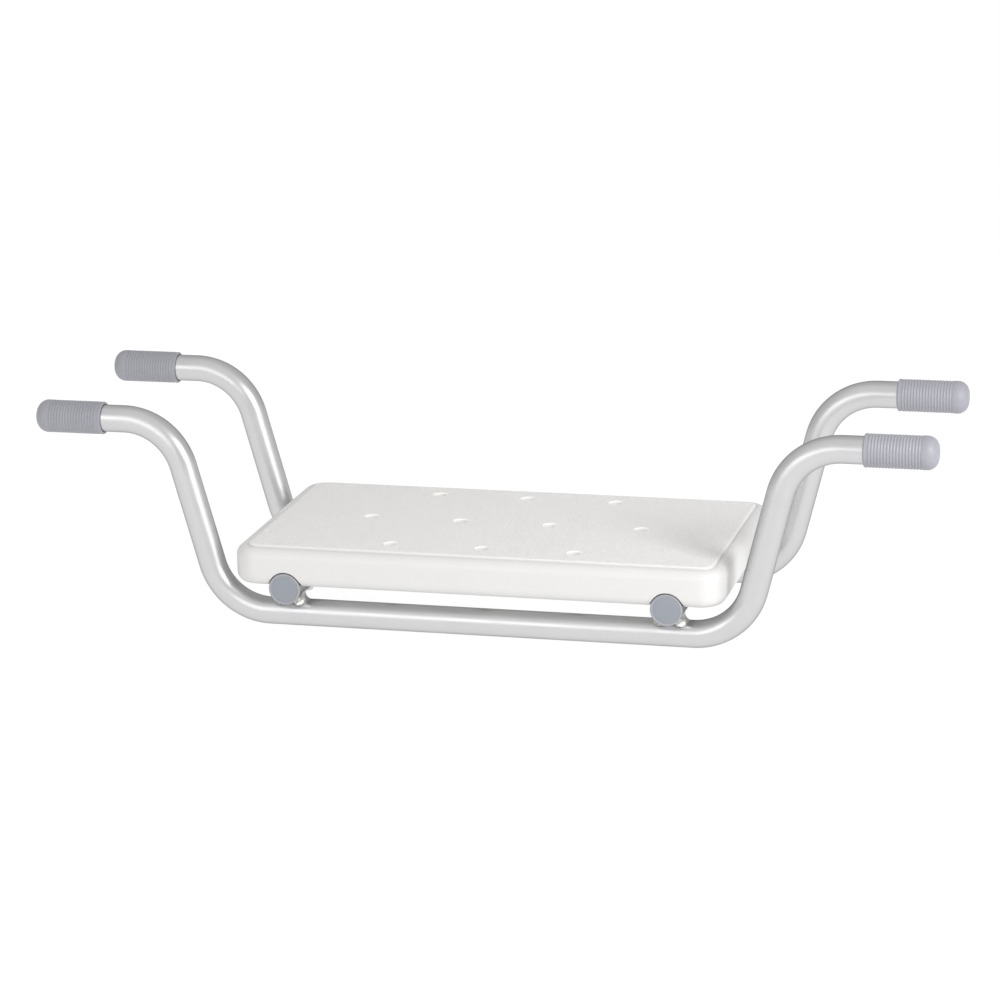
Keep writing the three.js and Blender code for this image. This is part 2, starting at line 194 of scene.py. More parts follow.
# Name, azimuth, elevation, distance in metres, size in metres, radiance
LAMPS = (
    ("key", 58, 30, 1.4, (0.34, 0.34), 24),
    ("front_softbox", -20, 21, 1.6, (1.3, 0.64), 1.4),
    ("right_softbox", 74, 8, 1.2, (1.1, 0.5), 0.75),
    ("top_softbox", -20, 65, 2.0, (2.4, 2.4), 0.2),
)
WORLD_STRENGTH = 0.66
FLOOR_GLOW = 0.9
FLOOR_HALF = 15  # metres

# In degrees, with the lens in millimetres on a 36 mm sensor
CAMERA_PLACE = (0.699757, -2.600864, 0.842462)  # metres
CAMERA_AZIMUTH = 15.1415
CAMERA_ELEVATION = 15.6645
CAMERA_ROLL = -1.4664
CAMERA_LENS = 123.84


# ---------- Meshes ----------
def add_piece(name, points, faces, material, sharp_degrees=None):
    """A new piece, from points in millimetres, that stands for the CAD node of that name."""
    mesh = bpy.data.meshes.new(name + "_visual")
    mesh.from_pydata([tuple(float(c) * MM for c in p) for p in points], [], [tuple(f) for f in faces])
    mesh.materials.append(material)
    mesh.shade_smooth()
    if sharp_degrees is not None:
        mesh.set_sharp_from_angle(angle=math.radians(sharp_degrees))
    piece = bpy.data.objects.new(name + "_visual", mesh)
    bpy.context.scene.collection.objects.link(piece)
    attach(piece, "root")
    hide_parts(name)
    return piece


def add_point_attribute(piece, name, kind, values):
    """Stores a value at each vertex, for the piece's material to read."""
    field = {"FLOAT": "value", "FLOAT_VECTOR": "vector"}[kind]
    attribute = piece.data.attributes.new(name, kind, "POINT")
    attribute.data.foreach_set(field, np.asarray(values, np.float32).ravel())


def ring_faces(first, second, count):
    """Quads between two closed rings of vertices, given by their first indices."""
    faces = []
    for i in range(count):
        j = (i + 1) % count
        faces.append((first + i, first + j, second + j, second + i))
    return faces


def lathe(profile, sides):
    """Points and faces of a solid of revolution about Z, from (radius, height) pairs going upward outside.

    A profile that starts and ends on the axis is closed by its poles. Any other is closed on itself.
    """
    points, faces, starts = [], [], []
    for radius, height in profile:
        starts.append((len(points), radius == 0))
        count = 1 if radius == 0 else sides
        for i in range(count):
            angle = 2 * math.pi * i / sides
            points.append((radius * math.cos(angle), radius * math.sin(angle), height))
    pairs = list(zip(starts, starts[1:]))
    if profile[0][0] != 0:
        pairs.append((starts[-1], starts[0]))
    for (low, low_pole), (high, high_pole) in pairs:
        if low_pole:
            faces += [(low, high + (i + 1) % sides, high + i) for i in range(sides)]
        elif high_pole:
            faces += [(low + i, low + (i + 1) % sides, high) for i in range(sides)]
        else:
            faces += ring_faces(low, high, sides)
    return points, faces


def placed(points, matrix):
    """The points, moved by a matrix."""
    return [tuple(matrix @ Vector(p)) for p in points]


def quarter_round(centre, radii, start, end, steps):
    """(radius, height) pairs along an elliptical arc between two angles in degrees."""
    pairs = []
    for i in range(steps + 1):
        angle = math.radians(start + (end - start) * i / steps)
        pairs.append((centre[0] + radii[0] * math.cos(angle), centre[1] + radii[1] * math.sin(angle)))
    return pairs


def carve(piece, points, faces):
    """Cuts a closed shape out of a piece."""
    mesh = bpy.data.meshes.new("cutter")
    mesh.from_pydata([tuple(float(c) * MM for c in p) for p in points], [], faces)
    cutter = bpy.data.objects.new("cutter", mesh)
    bpy.context.scene.collection.objects.link(cutter)
    cut = piece.modifiers.new("cut", "BOOLEAN")
    cut.operation = "DIFFERENCE"
    cut.solver = "EXACT"
    cut.object = cutter
    depsgraph = bpy.context.evaluated_depsgraph_get()
    result = bpy.data.meshes.new_from_object(piece.evaluated_get(depsgraph))
    piece.modifiers.remove(cut)
    old = piece.data
    piece.data = result
    result.name = old.name
    bpy.data.meshes.remove(old)
    bpy.data.objects.remove(cutter)
    bpy.data.meshes.remove(mesh)


# ---------- Rails ----------
def rail_stations():
    """(position, direction, distance along) of each ring of a rail, as 2-D vectors in the XZ plane."""
    corners = [
        Vector((-ARM_TIP_X, ARM_Z)),
        Vector((-UPPER_CORNER_X, ARM_Z)),
        Vector((-LOWER_CORNER_X, RAIL_Z)),
        Vector((LOWER_CORNER_X, RAIL_Z)),
        Vector((UPPER_CORNER_X, ARM_Z)),
        Vector((ARM_TIP_X, ARM_Z)),
    ]
    stations = [(corners[0], Vector((1, 0)))]
    for before, corner, after in zip(corners, corners[1:], corners[2:]):
        incoming = (corner - before).normalized()
        outgoing = (after - corner).normalized()
        turn = math.atan2(incoming.x * outgoing.y - incoming.y * outgoing.x, incoming.dot(outgoing))
        inward = Vector((-incoming.y, incoming.x)) * math.copysign(1, turn)
        centre = corner - incoming * BEND_RADIUS * math.tan(abs(turn) / 2) + inward * BEND_RADIUS
        for i in range(BEND_STEPS + 1):
            rotation = Matrix.Rotation(turn * i / BEND_STEPS, 2)
            stations.append((centre - rotation @ inward * BEND_RADIUS, rotation @ incoming))
    stations.append((corners[-1], Vector((1, 0))))
    run, measured = 0, []
    for i, (position, direction) in enumerate(stations):
        run += (position - stations[i - 1][0]).length if i else 0
        measured.append((position, direction, run))
    return measured


def tube_mesh(stations, sides, outer, inner, y):
    """A hollow tube swept along stations in the XZ plane.

    The grain is each vertex's place in the straightened tube.
    """
    points, grain, faces = [], [], []
    for radius in (outer, inner):
        for position, direction, run in stations:
            normal = Vector((-direction.y, direction.x))
            for i in range(sides):
                angle = 2 * math.pi * i / sides
                across, up = radius * math.cos(angle), radius * math.sin(angle)
                points.append((position.x + normal.x * up, y + across, position.y + normal.y * up))
                grain.append((run, across, up))
    count = len(stations)
    for i in range(count - 1):
        faces += ring_faces(i * sides, (i + 1) * sides, sides)
        faces += ring_faces((count + i + 1) * sides, (count + i) * sides, sides)
    faces += ring_faces(count * sides, 0, sides)
    faces += ring_faces((count - 1) * sides, (2 * count - 1) * sides, sides)
    return points, grain, faces


def add_rails(material):
    """The front and the rear rail."""
    stations = rail_stations()
    for where, side in SIDES_Y.items():
        inner = RAIL_RADIUS - RAIL_WALL
        points, grain, faces = tube_mesh(stations, TUBE_SIDES, RAIL_RADIUS, inner, side * RAIL_Y)
        rail = add_piece(f"{where}_rail", points, faces, material, sharp_degrees=50)
        add_point_attribute(rail, "grain", "FLOAT_VECTOR", np.array(grain) * MM)


# ---------- Cross tubes ----------
def cross_tube_mesh(x):
    """A straight hollow tube along Y, with extra rings beside the places where the screws pass."""
    near = [SCREW_Y - CROSS_HOLE_MARGIN, SCREW_Y + CROSS_HOLE_MARGIN]
    lines = sorted([-CROSS_HALF_LENGTH, CROSS_HALF_LENGTH, *near, *[-v for v in near]])
    points, grain, faces = [], [], []
    for radius in (CROSS_RADIUS, CROSS_RADIUS - CROSS_WALL):
        for y in lines:
            for i in range(CROSS_SIDES):
                angle = 2 * math.pi * (i + 0.5) / CROSS_SIDES
                across, up = radius * math.sin(angle), radius * math.cos(angle)
                points.append((x + across, y, CROSS_Z + up))
                grain.append((y, across, up))
    count = len(lines)
    for i in range(count - 1):
        faces += ring_faces(i * CROSS_SIDES, (i + 1) * CROSS_SIDES, CROSS_SIDES)
        faces += ring_faces((count + i + 1) * CROSS_SIDES, (count + i) * CROSS_SIDES, CROSS_SIDES)
    faces += ring_faces(count * CROSS_SIDES, 0, CROSS_SIDES)
    faces += ring_faces((count - 1) * CROSS_SIDES, (2 * count - 1) * CROSS_SIDES, CROSS_SIDES)
    return points, grain, faces


def screw_drill():
    """A bar along Z that cuts the screw's holes through a cross tube."""
    reach = 2 * CROSS_RADIUS
    profile = [(0, -reach), (SCREW_HOLE_RADIUS, -reach), (SCREW_HOLE_RADIUS, reach), (0, reach)]
    return lathe(profile, DRILL_SIDES)


def add_cross_tubes(material):
    """The two cross tubes, each drilled for its two screws."""
    drill, drill_faces = screw_drill()
    for where, side in SIDES_X.items():
        x = side * CROSS_X
        points, grain, faces = cross_tube_mesh(x)
        tube = add_piece(f"{where}_cross_tube", points, faces, material)
        add_point_attribute(tube, "grain", "FLOAT_VECTOR", np.array(grain) * MM)
        for end in SIDES_Y.values():
            here = Matrix.Translation((x, end * SCREW_Y, CROSS_Z))
            carve(tube, placed(drill, here), drill_faces)
        tube.data.set_sharp_from_angle(angle=math.radians(40))


# ---------- Welds ----------
def weld_ring(along, swell, inflate):
    """One section of a weld's bead, hollowed by a ball that rests on both tubes.

    Places are from the crossing's middle. `along` is the ball centre's place along Y, `swell` is how full
    the section is, from 0 at the bead's ends to 1, and `inflate` raises its face.
    """
    ball = WELD_FILLET
    height = math.sqrt((RAIL_RADIUS + ball) ** 2 - along**2)
    centre_z = RAIL_Z + height
    centre_x = math.sqrt((CROSS_RADIUS + ball) ** 2 - (CROSS_Z - centre_z) ** 2)
    to_rail = Vector((0, -along, -height)).normalized()
    to_cross = Vector((-centre_x, 0, CROSS_Z - centre_z)).normalized()
    centre = Vector((centre_x, along, centre_z))
    opening = to_rail.angle(to_cross)
    face = []
    for i in range(WELD_FACE_STEPS + 1):
        share = i / WELD_FACE_STEPS
        a = math.sin((1 - share) * opening) / math.sin(opening)
        b = math.sin(share * opening) / math.sin(opening)
        ray = to_rail * a + to_cross * b
        bulge = math.sin(math.pi * share) * (inflate + WELD_BULGE)
        sink = -WELD_SINK * abs(2 * share - 1) ** 4
        face.append(centre + ray * (ball - bulge - sink))
    root = []
    for i in range(1, WELD_ROOT_STEPS + 1):
        share = i / WELD_ROOT_STEPS
        x = face[-1].x + (WELD_ROOT_X - face[-1].x) * share
        under = CROSS_Z - math.sqrt(max((CROSS_RADIUS - WELD_SINK) ** 2 - x**2, 0))
        root.append(Vector((x, face[-1].y, under)))
    for i in range(1, WELD_ROOT_STEPS):
        share = i / WELD_ROOT_STEPS
        x = WELD_ROOT_X + (face[0].x - WELD_ROOT_X) * share
        y = face[-1].y + (face[0].y - face[-1].y) * share
        over = RAIL_Z + math.sqrt(max((RAIL_RADIUS - WELD_SINK) ** 2 - face[0].y ** 2, 0))
        root.append(Vector((x, y if i > 1 else face[0].y, over)))
    ring = face + root
    hub_z = (root[WELD_ROOT_STEPS - 1].z + root[WELD_ROOT_STEPS].z) / 2
    hub = Vector((WELD_HUB_X, (face[0].y + face[-1].y) / 2, hub_z))
    return [hub + (p - hub) * swell for p in ring]


def weld_mesh():
    """A closed bead along one side of a crossing, with rounded ends and faint ripples."""
    stations = []
    for i in range(WELD_STATIONS + 1):
        along = WELD_REACH_Y * (2 * i / WELD_STATIONS - 1)
        phase = 2 * math.pi * along / WELD_RIPPLE_PITCH
        wander = WELD_WANDER * math.sin(phase * 0.37 + 1)
        stations.append((along, 1, WELD_RIPPLE * math.sin(phase) + wander))
    cap = []
    for i in range(1, WELD_CAP_STEPS + 1):
        angle = math.radians(90 * i / (WELD_CAP_STEPS + 0.3))
        cap.append((WELD_REACH_Y + WELD_CAP * math.sin(angle), math.cos(angle), 0))
    stations = [(-a, s, w) for a, s, w in reversed(cap)] + stations + cap
    points, faces = [], []
    for along, swell, inflate in stations:
        ring = weld_ring(along, swell, inflate)
        size = len(ring)
        points += ring
    for i in range(len(stations) - 1):
        faces += ring_faces(i * size, (i + 1) * size, size)
    faces.append(tuple(reversed(range(size))))
    faces.append(tuple(range((len(stations) - 1) * size, len(stations) * size)))
    return points, faces


def add_welds(material):
    """Two beads at each of the four crossings."""
    points, faces = weld_mesh()
    flipped = [tuple(reversed(f)) for f in faces]
    for end, side_y in SIDES_Y.items():
        for where, side_x in SIDES_X.items():
            for face, turn in (("right", 1), ("left", -1)):
                moved = [(side_x * CROSS_X + turn * p[0], side_y * RAIL_Y + p[1], p[2]) for p in points]
                name = f"{end}_{where}_weld_{face}_side"
                add_piece(name, moved, faces if turn < 0 else flipped, material, sharp_degrees=70)


# ---------- Grips ----------
def grip_profile():
    """From the bore's end out through the mouth and along the ribbed outside to the closed end."""
    bore = RAIL_RADIUS + GRIP_BORE_GAP
    bore_end = GRIP_LENGTH - GRIP_END_THICKNESS
    mouth = GRIP_MOUTH_ROUND
    lip = GRIP_BORE_ROUND
    profile = [(0, bore_end), (bore - 1, bore_end), (bore, bore_end - 1), (bore, mouth)]
    profile += quarter_round((bore + lip, lip), (lip, lip), 180, 270, 3)
    profile += quarter_round((GRIP_RADIUS - mouth, mouth), (mouth, mouth), 270, 360, 6)
    for rib in range(GRIP_RIBS):
        for i in range(RIB_STEPS):
            share = i / RIB_STEPS
            hollow = 0.5 + 0.5 * math.cos(2 * math.pi * share)
            height = GRIP_COLLAR + (rib + share) * GRIP_RIB_PITCH
            profile.append((GRIP_RADIUS - GRIP_GROOVE_DEPTH * hollow, height))
    last = GRIP_COLLAR + GRIP_RIBS * GRIP_RIB_PITCH
    profile += [(GRIP_RADIUS - GRIP_GROOVE_DEPTH, last), (GRIP_RADIUS - 0.1, last + 0.5)]
    profile += [(GRIP_RADIUS, last + 1)]
    centre = (GRIP_RADIUS - GRIP_END_RADIUS, GRIP_LENGTH - GRIP_END_RADIUS)
    profile += quarter_round(centre, (GRIP_END_RADIUS, GRIP_END_RADIUS), 0, 90, 12)
    profile += [(centre[0] / 2, GRIP_LENGTH), (0, GRIP_LENGTH)]
    return profile


def add_grips(material):
    """A closed ribbed sleeve on each of the four arms."""
    points, faces = lathe(grip_profile(), TURNED_SIDES)
    for end, side_y in SIDES_Y.items():
        for where, side_x in SIDES_X.items():
            turn = Matrix.Rotation(side_x * math.pi / 2, 4, "Y")
            here = Matrix.Translation((side_x * GRIP_MOUTH_X, side_y * RAIL_Y, ARM_Z)) @ turn
            name = f"{end}_{where}_grip"
            add_piece(name, placed(points, here), faces, material, sharp_degrees=60)


# ---------- Plugs ----------
def plug_profile():
    """Height 0 is the top of the rim round the outer face, and the spigot points down."""
    back = -PLUG_FLANGE
    inner = back - PLUG_SPIGOT_LENGTH
    hollow = PLUG_SPIGOT_RADIUS - PLUG_SPIGOT_WALL
    profile = [(0, back), (hollow, back), (hollow, inner + 0.4), (hollow + 0.4, inner)]
    profile += [(PLUG_SPIGOT_RADIUS - 0.6, inner), (PLUG_SPIGOT_RADIUS, inner + 1.2)]
    profile += [(PLUG_SPIGOT_RADIUS, back), (PLUG_RADIUS - 0.3, back), (PLUG_RADIUS, back + 0.3)]
    rim_size = (PLUG_RADIUS - PLUG_RIM_RADIUS, PLUG_RIM_ROUND)
    profile += quarter_round((PLUG_RIM_RADIUS, -PLUG_RIM_ROUND), rim_size, 0, 140, 12)
    profile += [(PLUG_FLAT_RADIUS + 0.35, -0.5), (PLUG_FLAT_RADIUS + 0.1, -0.3)]
    profile += [(PLUG_FLAT_RADIUS - 0.2, -0.2), (PLUG_FLAT_RADIUS - 0.8, -PLUG_FLAT_DROP)]
    profile += [(PLUG_FLAT_RADIUS / 2, -PLUG_FLAT_DROP), (0, -PLUG_FLAT_DROP)]
    return profile


def on_plug_rim(point):
    """1 on the flange's rim and edge, where the painted highlight goes, 0 elsewhere."""
    x, y, height = point
    return float(math.hypot(x, y) > PLUG_FLAT_RADIUS + 0.3 and height > -PLUG_FLANGE)


def add_plugs(material):
    """A plug in each end of both cross tubes."""
    points, faces = lathe(plug_profile(), TURNED_SIDES)
    rim = [on_plug_rim(p) for p in points]
    for end, side_y in SIDES_Y.items():
        for where, side_x in SIDES_X.items():
            turn = Matrix.Rotation(-side_y * math.pi / 2, 4, "X")
            here = Matrix.Translation((side_x * CROSS_X, side_y * PLUG_FACE_Y, CROSS_Z)) @ turn
            name = f"{end}_{where}_tube_plug"
            plug = add_piece(name, placed(points, here), faces, material, sharp_degrees=50)
            add_point_attribute(plug, "rim", "FLOAT", rim)


# ---------- Screws and washers ----------
def cross_recess():
    """A tapered cross-shaped plug, pointing up, for the recess in a screw's head."""
    points = []
    length, width = RECESS_ARM
    for height, scale in ((-SCREW_HEAD_HEIGHT - 1, 1.25), (-SCREW_HEAD_HEIGHT + 2, 0.55)):
        for quarter in range(4):
            for along, across in ((width, width), (length, width), (length, -width)):
                angle = quarter * math.pi / 2
                x = (along * math.cos(angle) + across * math.sin(angle)) * scale
                y = (along * math.sin(angle) - across * math.cos(angle)) * scale
                points.append((x, y, height))
    faces = ring_faces(0, 12, 12)
    faces += [tuple(reversed(range(12))), tuple(range(12, 24))]
    return points, faces


def screw_profile():
    """Height 0 is under the head, which hangs below. The shank points up."""
    length = SCREW_HIGH.z - SCREW_LOW.z - SCREW_HEAD_HEIGHT
    crown = SCREW_HEAD_RADIUS - SCREW_DOME_WIDTH
    dome = (SCREW_DOME_WIDTH, SCREW_HEAD_HEIGHT - SCREW_CROWN)
    profile = [(0, -SCREW_HEAD_HEIGHT), (crown * 0.6, -SCREW_HEAD_HEIGHT)]
    profile += quarter_round((crown, -SCREW_CROWN), dome, -78, 0, 8)
    profile += [(SCREW_HEAD_RADIUS, -0.2), (SCREW_HEAD_RADIUS - 0.2, 0), (SCREW_SHANK_RADIUS, 0)]
    profile += [(SCREW_SHANK_RADIUS, length - SCREW_POINT), (0, length)]
    return profile


def washer_profile():
    """Height 0 is the washer's top, and its edges are broken."""
    height = WASHER_HIGH.z - WASHER_LOW.z
    hole = SCREW_HOLE_RADIUS
    edge = 0.25
    return [
        (hole, -height + edge),
        (hole + edge, -height),
        (WASHER_RADIUS - edge, -height),
        (WASHER_RADIUS, -height + edge),
        (WASHER_RADIUS, -edge),
        (WASHER_RADIUS - edge, 0),
        (hole + edge, 0),
        (hole, -edge),
    ]


def add_fasteners(material):
    """A screw and a washer under each end of both cross tubes, each screw turned differently."""
    screw, screw_faces = lathe(screw_profile(), SCREW_SIDES)
    recess, recess_faces = cross_recess()
    washer, washer_faces = lathe(washer_profile(), TURNED_SIDES)
    for end, side_y in SIDES_Y.items():
        for where, side_x in SIDES_X.items():
            x, y = side_x * CROSS_X, side_y * SCREW_Y
            turned = 20 + 31 * side_x + 12 * side_y
            turn = Matrix.Rotation(math.radians(turned), 4, "Z")
            here = Matrix.Translation((x, y, SCREW_LOW.z + SCREW_HEAD_HEIGHT)) @ turn
            name = f"{end}_{where}_seat_screw"
            piece = add_piece(name, placed(screw, here), screw_faces, material)
            carve(piece, placed(recess, here), recess_faces)
            piece.data.set_sharp_from_angle(angle=math.radians(38))
            here = Matrix.Translation((x, y, WASHER_HIGH.z))
            name = f"{end}_{where}_screw_washer"
            add_piece(name, placed(washer, here), washer_faces, material, sharp_degrees=30)


# ---------- Seat board ----------
def board_distance(points):
    """Signed distance to the board, negative inside, with the channels' edges rounded."""
    middle_z = (SEAT_BOTTOM_Z + SEAT_LEDGE_Z) / 2
    half_z = (SEAT_LEDGE_Z - SEAT_BOTTOM_Z) / 2
    x, y, z = points[:, 0], points[:, 1], points[:, 2]
    qx = np.abs(x) - (SEAT_HALF_X - SEAT_CORNER_RADIUS)
    qy = np.abs(y) - (SEAT_HALF_Y - SEAT_CORNER_RADIUS)
    flat = np.hypot(np.maximum(qx, 0), np.maximum(qy, 0)) + np.minimum(np.maximum(qx, qy), 0)
    wx = flat - SEAT_CORNER_RADIUS + SEAT_EDGE_RADIUS
    wz = np.abs(z - middle_z) - half_z + SEAT_EDGE_RADIUS
    outside = np.hypot(np.maximum(wx, 0), np.maximum(wz, 0))
    body = outside + np.minimum(np.maximum(wx, wz), 0) - SEAT_EDGE_RADIUS
    channel = NOTCH_RADIUS - np.hypot(np.abs(x) - CROSS_X, z - CROSS_Z)
    rounding = np.hypot(np.maximum(LIP_RADIUS + body, 0), np.maximum(LIP_RADIUS + channel, 0))
    return np.minimum(-LIP_RADIUS, np.maximum(body, channel)) + rounding


def onto_board(points):
    """Moves points near the board's surface exactly onto it."""
    step = 1e-3
    for _ in range(SETTLE_ROUNDS):
        value = board_distance(points)
        slope = np.empty_like(points)
        for axis in range(3):
            shift = np.zeros(3)
            shift[axis] = step
            slope[:, axis] = (board_distance(points + shift) - board_distance(points - shift)) / (2 * step)
        size = np.maximum((slope**2).sum(1), 0.25)
        points = points - slope * (value / size)[:, None]
    return points


def notch_lines():
    """(distance from a channel's axis, height of the underside there) across it, from left to right."""
    rise = SEAT_BOTTOM_Z - CROSS_Z
    corner = math.sqrt(NOTCH_RADIUS**2 - rise**2)
    foot = math.asin(rise / NOTCH_RADIUS)
    arc = NOTCH_RADIUS * (math.pi / 2 - foot)
    step = (arc - NEAR_EDGE[-1]) / NOTCH_STEPS
    spread = [NEAR_EDGE[-1] + step * i for i in range(1, NOTCH_STEPS + 1)]
    half = [(corner + d, SEAT_BOTTOM_Z) for d in reversed(NEAR_EDGE)] + [(corner, SEAT_BOTTOM_Z)]
    for distance in [*NEAR_EDGE, *spread]:
        angle = foot + distance / NOTCH_RADIUS
        half.append((NOTCH_RADIUS * math.cos(angle), CROSS_Z + NOTCH_RADIUS * math.sin(angle)))
    left = [(-d, z) for d, z in half]
    right = [(d, z) for d, z in reversed(half[:-1])]
    return left + right


def outline_columns():
    """Columns round the board, anticlockwise from the front's left end: (kind, place, underside height).

    A straight column's place is a point on the outline and the inward direction. A corner column's place is
    the corner's centre and the outward direction.
    """
    straight_x = SEAT_HALF_X - SEAT_CORNER_RADIUS
    straight_y = SEAT_HALF_Y - SEAT_CORNER_RADIUS
    front = []
    for side in (-1, 1):
        front += [(side * CROSS_X + d, z) for d, z in notch_lines()]
    left_count = len(notch_lines())
    middle = [(x, SEAT_BOTTOM_Z) for x in MIDDLE_COLUMNS_X]
    front = front[:left_count] + middle + front[left_count:]
    rise = [(y, SEAT_BOTTOM_Z) for y in SIDE_COLUMNS_Y]
    columns = []

    def corner(side_x, side_y, start):
        """Adds the columns round one corner."""
        centre = Vector((side_x * straight_x, side_y * straight_y))
        for i in range(CORNER_STEPS + 1):
            angle = math.radians(start + 90 * i / CORNER_STEPS)
            columns.append(("corner", centre, Vector((math.cos(angle), math.sin(angle))), SEAT_BOTTOM_Z))

    corner(-1, -1, 180)
    for x, z in front:
        columns.append(("front", Vector((x, -SEAT_HALF_Y)), Vector((0, 1)), z))
    corner(1, -1, 270)
    for y, z in rise:
        columns.append(("side", Vector((SEAT_HALF_X, y)), Vector((-1, 0)), z))
    corner(1, 1, 0)
    for x, z in reversed(front):
        columns.append(("rear", Vector((x, SEAT_HALF_Y)), Vector((0, -1)), z))
    corner(-1, 1, 90)
    for y, z in reversed(rise):
        columns.append(("side", Vector((-SEAT_HALF_X, y)), Vector((1, 0)), z))
    return columns


def column_point(column, inset, z):
    """The point at a height on a column, moved in from the outline."""
    kind, place, direction, _ = column
    if kind == "corner":
        flat = place + direction * (SEAT_CORNER_RADIUS - inset)
    else:
        flat = place + direction * inset
    return (flat.x, flat.y, z)


def rim_path(low_z):
    """(inset, height) down a column from the wall's top round to the underside, dense beside the edge."""
    fillet_z = SEAT_BOTTOM_Z + SEAT_EDGE_RADIUS
    wall_top = SEAT_LEDGE_Z - SEAT_EDGE_RADIUS
    drop = min(max((fillet_z - low_z) / SEAT_EDGE_RADIUS, 0), 1)
    turn = math.asin(drop)
    wall = wall_top - max(fillet_z, low_z)
    length = wall + SEAT_EDGE_RADIUS * turn
    step = (length - NEAR_EDGE[-1]) / WALL_STEPS
    spread = [NEAR_EDGE[-1] + step * i for i in range(1, WALL_STEPS + 1)]
    path = []
    for back in [*reversed(spread), *reversed(NEAR_EDGE), 0]:
        run = length - back
        if run <= wall:
            path.append((0, wall_top - run))
        else:
            angle = (run - wall) / SEAT_EDGE_RADIUS
            inset = SEAT_EDGE_RADIUS * (1 - math.cos(angle))
            path.append((inset, fillet_z - SEAT_EDGE_RADIUS * math.sin(angle)))
    edge = path[-1][0]
    rest = INNER_INSET - edge - NEAR_EDGE[-1]
    path += [(edge + d, low_z) for d in NEAR_EDGE]
    path += [(edge + NEAR_EDGE[-1] + rest * share, low_z) for share in (0.5, 1)]
    return path


def top_path():
    """(inset, height) from the wall's top over the shoulder, ledge and crease to the raised panel."""
    radius = SEAT_EDGE_RADIUS
    path = []
    for i in range(1, SHOULDER_STEPS + 1):
        angle = math.pi / 2 * i / SHOULDER_STEPS
        path.append((radius * (1 - math.cos(angle)), SEAT_LEDGE_Z - radius * (1 - math.sin(angle))))
    path += [(inset, SEAT_LEDGE_Z + height) for inset, height in CREASE]
    path += [(inset, SEAT_PANEL_Z - depth) for inset, depth in PANEL_EDGE]
    return path


def drain_centres():
    """The drain holes' places, in rows from front to rear."""
    centres = []
    for row, count in enumerate(DRAIN_ROWS):
        for i in range(count):
            x = (i - (count - 1) / 2) * DRAIN_PITCH
            y = (row - (len(DRAIN_ROWS) - 1) / 2) * DRAIN_ROW_SPACING
            centres.append((x, y))
    return centres


def drain_path():
    """(radius, height) down through a drain hole, with rounded lips and flat rings round them."""
    top, low = SEAT_PANEL_Z, SEAT_BOTTOM_Z
    lip = DRAIN_LIP
    path = [(DRAIN_RADIUS + lip + 1.2, top), (DRAIN_RADIUS + lip + 0.5, top)]
    path += quarter_round((DRAIN_RADIUS + lip, top - lip), (lip, lip), 90, 180, 6)
    path += [(DRAIN_RADIUS, top - DRAIN_GLOW_DEPTH / 2), (DRAIN_RADIUS, top - DRAIN_GLOW_DEPTH)]
    path += [(DRAIN_RADIUS - 0.1, (top + low) / 2 - 3)]
    path += quarter_round((DRAIN_RADIUS + lip, low + lip), (lip, lip), 180, 270, 6)
    path += [(DRAIN_RADIUS + lip + 0.5, low), (DRAIN_RADIUS + lip + 1.2, low)]
    return path


def blow_hole_path():
    """(radius, height) up into the blind hole that the board was blown through."""
    low = SEAT_BOTTOM_Z
    path = [(BLOW_HOLE_RADIUS + 1.6, low), (BLOW_HOLE_RADIUS + 1, low)]
    path += [(BLOW_HOLE_RADIUS + 0.4, low + 0.15), (BLOW_HOLE_RADIUS, low + 0.6)]
    path += [(BLOW_HOLE_RADIUS - 0.2, low + BLOW_HOLE_DEPTH), (0, low + BLOW_HOLE_DEPTH + 0.5)]
    return path


class BoardMesh:
    """The board's points and faces, as they grow."""

    def __init__(self):
        self.points = []
        self.faces = []

    def ring(self, centre, radius, z, sides):
        """Adds a ring of vertices round a centre, or one vertex where the radius is 0."""
        first = len(self.points)
        for i in range(sides if radius else 1):
            angle = 2 * math.pi * i / sides
            x = centre[0] + radius * math.cos(angle)
            y = centre[1] + radius * math.sin(angle)
            self.points.append((x, y, z))
        return first

    def hole(self, centre, path, sides):
        """Adds a round hole's surface, and returns its first and last rings."""
        rings = [self.ring(centre, radius, z, sides) for radius, z in path]
        for a, b in zip(rings, rings[1:]):
            if b == len(self.points) - 1:
                self.faces += [(a + (i + 1) % sides, a + i, b) for i in range(sides)]
            elif path[-1][0]:
                self.faces += ring_faces(a, b, sides)
            else:
                self.faces += ring_faces(b, a, sides)
        return range(rings[0], rings[0] + sides), range(rings[-1], rings[-1] + sides)

    def fill(self, outer, holes, upward):
        """Fills a flat face between an outer loop and its round holes, all given as vertex indices."""
        order = [*outer, *[i for hole in holes for i in hole]]
        flat = [Vector(self.points[i][:2]) for i in order]
        edges, first = [], len(outer)
        discs = []
        for hole in holes:
            edges += [(first + i, first + (i + 1) % len(hole)) for i in range(len(hole))]
            middle = sum((flat[first + i] for i in range(len(hole))), Vector((0, 0))) / len(hole)
            discs.append((middle, (flat[first] - middle).length))
            first += len(hole)
        triangles = delaunay_2d_cdt(flat, edges, [tuple(range(len(outer)))], 1, 1e-6)[2]
        for triangle in triangles:
            middle = sum((flat[i] for i in triangle), Vector((0, 0))) / 3
            if any((middle - centre).length < radius for centre, radius in discs):
                continue
            a, b, c = (order[i] for i in triangle)
            self.faces.append((a, b, c) if upward else (a, c, b))


